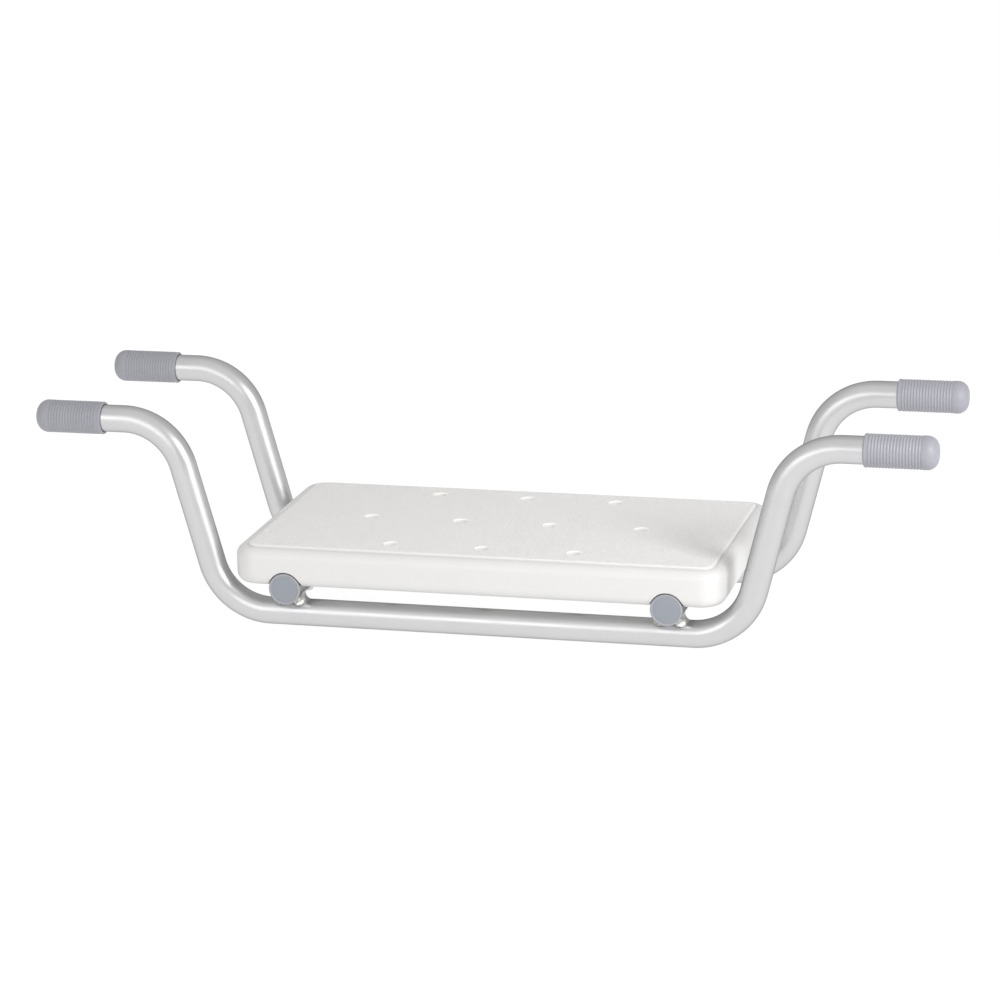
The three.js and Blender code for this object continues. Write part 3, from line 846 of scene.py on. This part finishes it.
def board_mesh():
    """The whole board's points and faces: its wall, top, drain holes and underside."""
    board = BoardMesh()
    columns = outline_columns()
    count = len(columns)
    rim = [rim_path(column[3]) for column in columns]
    over = top_path()
    rows = list(reversed(range(len(rim[0]))))
    lower = [column_point(c, *rim[k][row]) for row in rows for k, c in enumerate(columns)]
    board.points += [tuple(p) for p in onto_board(np.array(lower, float))]
    for inset, z in over:
        board.points += [column_point(c, inset, z) for c in columns]
    for row in range(len(rows) + len(over) - 1):
        board.faces += ring_faces(row * count, (row + 1) * count, count)
    drains = [board.hole(centre, drain_path(), DRAIN_SIDES) for centre in drain_centres()]
    blow, _ = board.hole((0, BLOW_HOLE_Y), blow_hole_path(), DRAIN_SIDES)
    top_row = len(rows) + len(over) - 1
    top_loop = range(top_row * count, (top_row + 1) * count)
    board.fill(top_loop, [top for top, _ in drains], True)
    fill_underside(board, columns, [low for _, low in drains] + [blow])
    return board.points, board.faces


def fill_underside(board, columns, holes):
    """Joins the two ends of each channel, and fills the flat faces beside and between them."""
    ids = list(range(len(columns)))
    front = [k for k in ids if columns[k][0] == "front"]
    rear = [k for k in ids if columns[k][0] == "rear"][::-1]
    across = len(notch_lines())
    strips = [(0, across), (len(front) - across, len(front))]
    for start, end in strips:
        for i in range(start, end - 1):
            board.faces.append((front[i], rear[i], rear[i + 1], front[i + 1]))
    left_end, right_start = strips[0][1] - 1, strips[1][0]
    middle = front[left_end : right_start + 1] + rear[left_end : right_start + 1][::-1]
    board.fill(middle, holes, False)
    right = ids[front[-1] : rear[-1] + 1]
    board.fill(right, [], False)
    left = ids[rear[0] :] + ids[: front[0] + 1]
    board.fill(left, [], False)


def panel_mask(points):
    """1 on the raised panel's flat top, fading to 0 down its rounded edge."""
    level = np.array([p[2] for p in points])
    return np.clip(1 - (SEAT_PANEL_Z - level) / PANEL_STIPPLE_AND_PAINTED_LIGHT_DROP, 0, 1)


def painted_drain_glow(points):
    """Mask of the painted glow: 1 on the inside of each drain hole's upper end, fading to 0 down the hole
    and out over its lip.
    """
    points = np.array(points)
    from_centre = np.full(len(points), np.inf)
    for x, y in drain_centres():
        from_centre = np.minimum(from_centre, np.hypot(points[:, 0] - x, points[:, 1] - y))
    inside = np.clip((DRAIN_RADIUS + DRAIN_LIP - from_centre) / DRAIN_LIP, 0, 1)
    depth = SEAT_PANEL_Z - points[:, 2]
    return inside * np.clip(1 - depth / DRAIN_GLOW_DEPTH, 0, 1)


def add_seat(material):
    """The seat board, with what its material reads at each vertex."""
    points, faces = board_mesh()
    seat = add_piece("seat_board", points, faces, material, sharp_degrees=75)
    add_point_attribute(seat, "panel", "FLOAT", panel_mask(points))
    add_point_attribute(seat, "painted_glow", "FLOAT", painted_drain_glow(points))


# ---------- Materials ----------
class Look:
    """A procedural material on one Principled shader."""

    def __init__(self, name, **sockets):
        self.material = bpy.data.materials.new(name)
        self.material.use_nodes = True
        self.tree = self.material.node_tree
        self.shader = self.tree.nodes["Principled BSDF"]
        for socket, value in sockets.items():
            self.shader.inputs[socket.replace("_", " ")].default_value = value

    def node(self, kind, inputs=(), **settings):
        """A new node, whose inputs take values or other nodes' outputs."""
        made = self.tree.nodes.new("ShaderNode" + kind)
        for key, value in settings.items():
            setattr(made, key, value)
        for key, value in dict(inputs).items():
            if isinstance(value, bpy.types.NodeSocket):
                self.tree.links.new(value, made.inputs[key])
            else:
                made.inputs[key].default_value = value
        return made

    def drive(self, socket, source):
        """Links an output to the shader's socket."""
        self.tree.links.new(source, self.shader.inputs[socket])

    def place(self):
        """The object's own coordinates, in metres."""
        return self.node("TexCoord").outputs["Object"]

    def stored(self, name, output):
        """An attribute stored at the vertices."""
        return self.node("Attribute", attribute_name=name).outputs[output]

    def stretched(self, vector, scale):
        """Coordinates scaled along each axis."""
        return self.node("Mapping", {"Vector": vector, "Scale": scale}).outputs["Vector"]

    def noise(self, vector, scale, detail=3, rough=0.5):
        """A noise of several octaves."""
        inputs = {"Vector": vector, "Scale": scale, "Detail": detail, "Roughness": rough}
        return self.node("TexNoise", inputs).outputs["Fac"]

    def spread(self, source, low, high, start=0.0, end=1.0):
        """Maps start to end onto low to high."""
        inputs = {"Value": source, "From Min": start, "From Max": end, "To Min": low, "To Max": high}
        return self.node("MapRange", inputs).outputs["Result"]

    def vary(self, noise, low, high):
        """Maps a noise's usual range onto low to high."""
        return self.spread(noise, low, high, 0.3, 0.7)

    def maths(self, operation, a, b):
        """The result of one operation on two values."""
        return self.node("Math", {0: a, 1: b}, operation=operation).outputs["Value"]

    def blend(self, share, a, b):
        """A colour from a to b."""
        inputs = {0: share, 6: a, 7: b}
        return self.node("Mix", inputs, data_type="RGBA").outputs[2]

    def bump(self, height, distance, strength=1.0, under=None):
        """A relief, on top of another one if given, as a normal."""
        inputs = {"Height": height, "Distance": distance, "Strength": strength}
        if under is not None:
            inputs["Normal"] = under
        return self.node("Bump", inputs).outputs["Normal"]


def rgb(red, green, blue):
    """A linear colour."""
    return (red, green, blue, 1)


def tube_look(name, with_painted_shade):
    """Satin aluminium with fine lines drawn along the tube and, if asked, painted shade that darkens it
    round its welds.
    """
    edge = 0.1 if with_painted_shade else 0.35
    look = Look(name, Metallic=1.0, Specular_Tint=rgb(edge, edge, edge))
    grain = look.stored("grain", "Vector")
    drawn = look.noise(look.stretched(grain, (14, 1500, 1500)), 1, 4, 0.6)
    fine = look.noise(look.stretched(grain, (60, 5200, 5200)), 1, 2)
    cloud = look.noise(grain, 38, 4, 0.55)
    tone = look.maths("ADD", look.maths("MULTIPLY", cloud, 0.7), look.maths("MULTIPLY", drawn, 0.3))
    colour = look.blend(tone, rgb(0.6, 0.6, 0.608), rgb(0.67, 0.67, 0.678))
    if with_painted_shade:
        along = look.node("SeparateXYZ", {"Vector": grain}).outputs["X"]
        from_rail = look.maths("SUBTRACT", look.maths("ABSOLUTE", along, 0), RAIL_Y * MM)
        wander = look.vary(cloud, -0.004, 0.004)
        distance = look.maths("ADD", look.maths("ABSOLUTE", from_rail, 0), wander)
        share = look.spread(distance, 0.95, 0, PAINTED_SHADE_REACH[0] * MM, PAINTED_SHADE_REACH[1] * MM)
        # painted shade: the cross tube is darkened near the rails
        colour = look.blend(share, colour, rgb(0.16, 0.15, 0.125))
    look.drive("Base Color", colour)
    rough = look.maths("ADD", look.vary(drawn, -0.05, 0.05), look.vary(cloud, 0.31, 0.4))
    look.drive("Roughness", rough)
    under = look.bump(drawn, 0.00002, 0.5)
    look.drive("Normal", look.bump(fine, 0.000006, 0.5, under))
    return look.material


def weld_look():
    """Bright weld metal, slightly pitted, with soft heat tint."""
    look = Look("weld_metal", Metallic=1.0)
    place = look.place()
    pits = look.noise(place, 1400, 5, 0.6)
    cloud = look.noise(place, 160, 3)
    look.drive("Base Color", look.blend(cloud, rgb(0.44, 0.435, 0.42), rgb(0.62, 0.615, 0.6)))
    look.drive("Roughness", look.vary(pits, 0.32, 0.48))
    look.drive("Normal", look.bump(pits, 0.00008, 0.6))
    return look.material


def grip_look():
    """Soft PVC: grey with a violet cast, fine speckle and slightly paler rubbed patches."""
    look = Look("grip_pvc", Specular_IOR_Level=0.42)
    place = look.place()
    speckle = look.noise(place, 2600, 4, 0.6)
    rubbed = look.noise(place, 90, 4, 0.6)
    patches = look.spread(rubbed, 0, 1, 0.35, 0.7)
    colour = look.blend(patches, rgb(0.305, 0.305, 0.34), rgb(0.322, 0.322, 0.356))
    fleck = look.spread(speckle, 0, 0.2, 0.5, 0.75)
    look.drive("Base Color", look.blend(fleck, colour, rgb(0.275, 0.275, 0.31)))
    look.drive("Roughness", look.vary(rubbed, 0.43, 0.52))
    look.drive("Normal", look.bump(speckle, 0.00002, 0.3))
    return look.material


def plug_look():
    """Blue-grey moulded plastic with a fine matt grain, and a painted highlight: the rim is painted paler,
    for the light its rounding catches.
    """
    look = Look("plug_plastic", Specular_IOR_Level=0.4)
    place = look.place()
    grain = look.noise(place, 2200, 4, 0.6)
    cloud = look.noise(place, 120, 3)
    face = look.blend(cloud, rgb(0.255, 0.276, 0.31), rgb(0.288, 0.309, 0.344))
    # painted highlight: the rim is paler than the face
    look.drive("Base Color", look.blend(look.stored("rim", "Fac"), face, rgb(0.33, 0.333, 0.362)))
    look.drive("Roughness", look.vary(grain, 0.36, 0.5))
    look.drive("Normal", look.bump(grain, 0.00005, 0.5))
    return look.material


def seat_look():
    """White blow-moulded polyethylene: a smooth, slightly wavy skin, painted darker as painted shade, and a
    stippled panel, lighter partly in its own colour and partly as painted light.

    The faint glow in the drain holes is painted light, an emission that stands in for the light that the
    thin white walls let through.
    """
    look = Look("seat_polyethylene", Specular_IOR_Level=0.45, Emission_Color=rgb(1, 0.98, 0.95))
    place = look.place()
    panel = look.stored("panel", "Fac")
    stipple = look.noise(place, 700, 3, 0.6)
    peel = look.noise(place, 330, 2)
    wave = look.noise(place, 16, 2)
    cloud = look.noise(place, 26, 5, 0.6)
    # painted shade and painted light: the skin is made darker and the panel and its rounded edge lighter,
    # for how the light falls on the sides and on the top
    skin_colour_with_painted_shade = look.blend(cloud, rgb(0.672, 0.665, 0.651), rgb(0.702, 0.695, 0.681))
    panel_colour_with_painted_light = look.blend(cloud, rgb(0.89, 0.879, 0.861), rgb(0.915, 0.904, 0.887))
    look.drive("Base Color", look.blend(panel, skin_colour_with_painted_shade, panel_colour_with_painted_light))
    skin = look.vary(peel, 0.34, 0.44)
    rough = look.maths("ADD", skin, look.maths("MULTIPLY", panel, look.vary(stipple, 0.08, 0.2)))
    look.drive("Roughness", rough)
    waves = look.bump(wave, 0.0012, 0.35)
    skinned = look.bump(peel, 0.00005, 0.5, waves)
    flat = look.spread(panel, 0, 1, 0.85, 1)
    relief = look.maths("MULTIPLY", flat, look.maths("SUBTRACT", stipple, 0.5))
    look.drive("Normal", look.bump(relief, 0.0016, 1, skinned))
    # painted light: the drain holes glow by emission
    painted_glow = look.maths("MULTIPLY", look.stored("painted_glow", "Fac"), DRAIN_GLOW_STRENGTH)
    look.drive("Emission Strength", painted_glow)
    return look.material


def fastener_look():
    """Bright zinc-plated steel with turned lines."""
    look = Look("zinc_steel", Metallic=1.0)
    place = look.place()
    grit = look.noise(look.stretched(place, (1, 1, 6)), 1500, 3)
    cloud = look.noise(place, 220, 3)
    look.drive("Base Color", look.blend(cloud, rgb(0.6, 0.6, 0.62), rgb(0.72, 0.72, 0.72)))
    look.drive("Roughness", look.vary(grit, 0.24, 0.42))
    look.drive("Normal", look.bump(grit, 0.00003, 0.5))
    return look.material


# ---------- Stage, light and camera ----------
def add_floor():
    """A plain floor, glowing so that it stays near white under the soft light."""
    look = Look("pale_floor", Roughness=0.9, Specular_IOR_Level=0.1)
    place = look.place()
    tone = look.noise(place, 3, 3)
    look.drive("Base Color", look.blend(tone, rgb(0.15, 0.15, 0.15), rgb(0.17, 0.17, 0.17)))
    look.shader.inputs["Emission Color"].default_value = rgb(1, 1, 1)
    look.shader.inputs["Emission Strength"].default_value = FLOOR_GLOW
    half = FLOOR_HALF
    corners = [(-half, -half, 0), (half, -half, 0), (half, half, 0), (-half, half, 0)]
    mesh = bpy.data.meshes.new("floor")
    mesh.from_pydata(corners, [], [(0, 1, 2, 3)])
    mesh.materials.append(look.material)
    floor = bpy.data.objects.new("floor", mesh)
    bpy.context.scene.collection.objects.link(floor)


def add_lamp(name, azimuth, elevation, distance, size, radiance):
    """A soft lamp that faces the bench. Azimuth 0 is in front of it, 90 to its right."""
    lamp = bpy.data.lights.new(name, "AREA")
    lamp.shape = "RECTANGLE"
    lamp.size, lamp.size_y = size
    lamp.energy = radiance * math.pi * size[0] * size[1]
    a, e = math.radians(azimuth), math.radians(elevation)
    outward = Vector((math.sin(a) * math.cos(e), -math.cos(a) * math.cos(e), math.sin(e)))
    obj = bpy.data.objects.new(name, lamp)
    obj.location = outward * distance
    obj.rotation_euler = outward.to_track_quat("Z", "Y").to_euler()
    obj.visible_camera = False
    bpy.context.scene.collection.objects.link(obj)


def add_world():
    """An even white surrounding."""
    world = bpy.data.worlds.new("studio")
    world.use_nodes = True
    world.node_tree.nodes["Background"].inputs["Color"].default_value = rgb(1, 1, 1)
    world.node_tree.nodes["Background"].inputs["Strength"].default_value = WORLD_STRENGTH
    bpy.context.scene.world = world


def add_camera():
    """A viewpoint to the bench's right and above it, with a long lens."""
    data = bpy.data.cameras.new("camera")
    data.sensor_width = 36
    data.lens = CAMERA_LENS
    data.clip_end = 100
    camera = bpy.data.objects.new("camera", data)
    around = Matrix.Rotation(math.radians(CAMERA_AZIMUTH), 4, "Z")
    tilt = Matrix.Rotation(math.radians(90 - CAMERA_ELEVATION), 4, "X")
    roll = Matrix.Rotation(math.radians(CAMERA_ROLL), 4, "Z")
    camera.matrix_world = Matrix.Translation(CAMERA_PLACE) @ around @ tilt @ roll
    bpy.context.scene.collection.objects.link(camera)
    bpy.context.scene.camera = camera


add_rails(tube_look("satin_aluminium_tube", False))
add_cross_tubes(tube_look("aluminium_tube_with_painted_shade", True))
add_welds(weld_look())
add_grips(grip_look())
add_plugs(plug_look())
add_fasteners(fastener_look())
add_seat(seat_look())

add_floor()
add_world()
for lamp in LAMPS:
    add_lamp(*lamp)
bpy.context.scene.view_settings.view_transform = "Standard"
add_camera()
